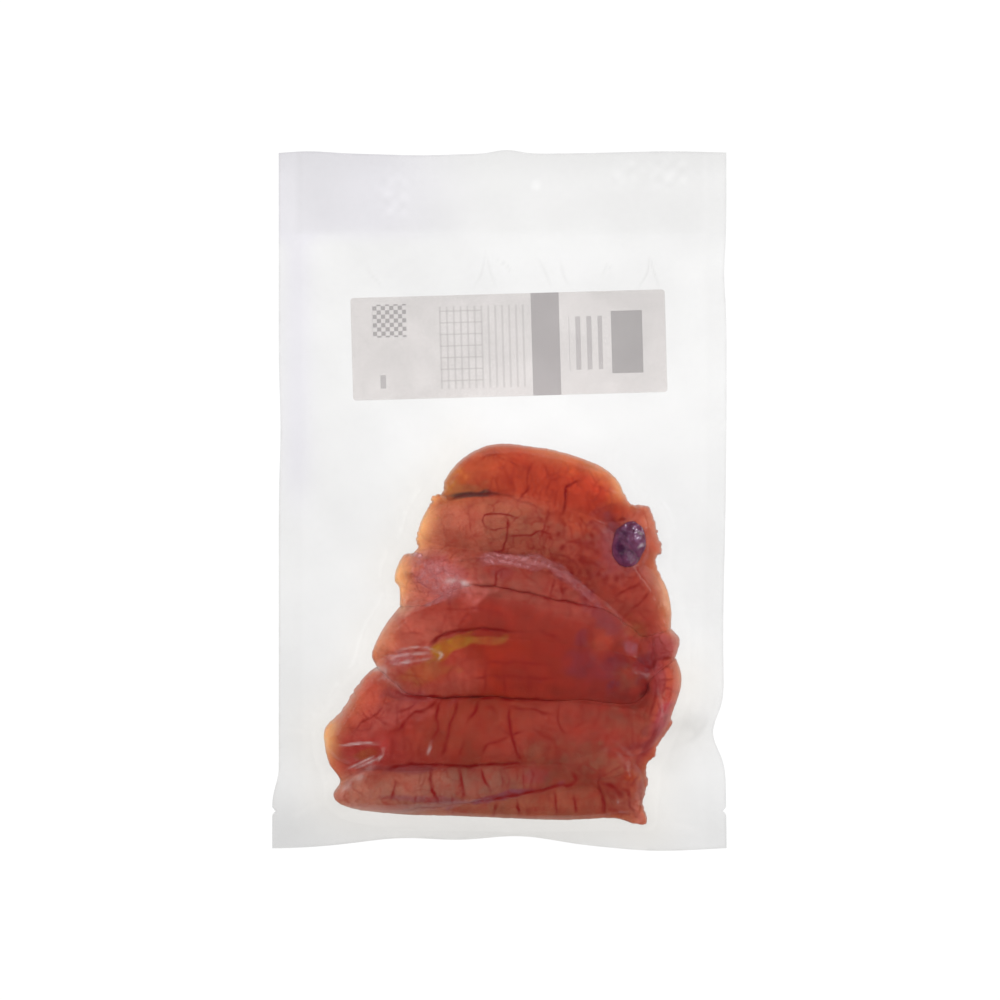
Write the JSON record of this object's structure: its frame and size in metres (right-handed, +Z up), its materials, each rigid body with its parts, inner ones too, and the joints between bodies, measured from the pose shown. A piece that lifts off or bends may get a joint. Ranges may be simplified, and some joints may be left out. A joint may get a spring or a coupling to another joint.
{
  "type": "vacuum-sealed pouch of fish roe",
  "caption": "Clear vacuum-sealed pouch lying flat, with lobes of raw fish roe at its foot and a paper label stuck to its underside.",
  "frame": {"origin": "middle of the pouch's outline as seen from above, at the level of the table", "axes": "+Z up through the shown side, +Y towards the pouch's mouth, +X to the right seen from above"},
  "size_m": [0.2036, 0.3138, 0.0308],
  "materials": {
    "clear_film": "clear glossy film, softly wrinkled",
    "roe": "moist, slightly see-through raw roe with fine dark veins",
    "label_paper": "matt thermal paper"
  },
  "bodies": {
    "root": {"sealed_pouch": "clear_film", "label": "label_paper"}
  },
  "joints": []
}
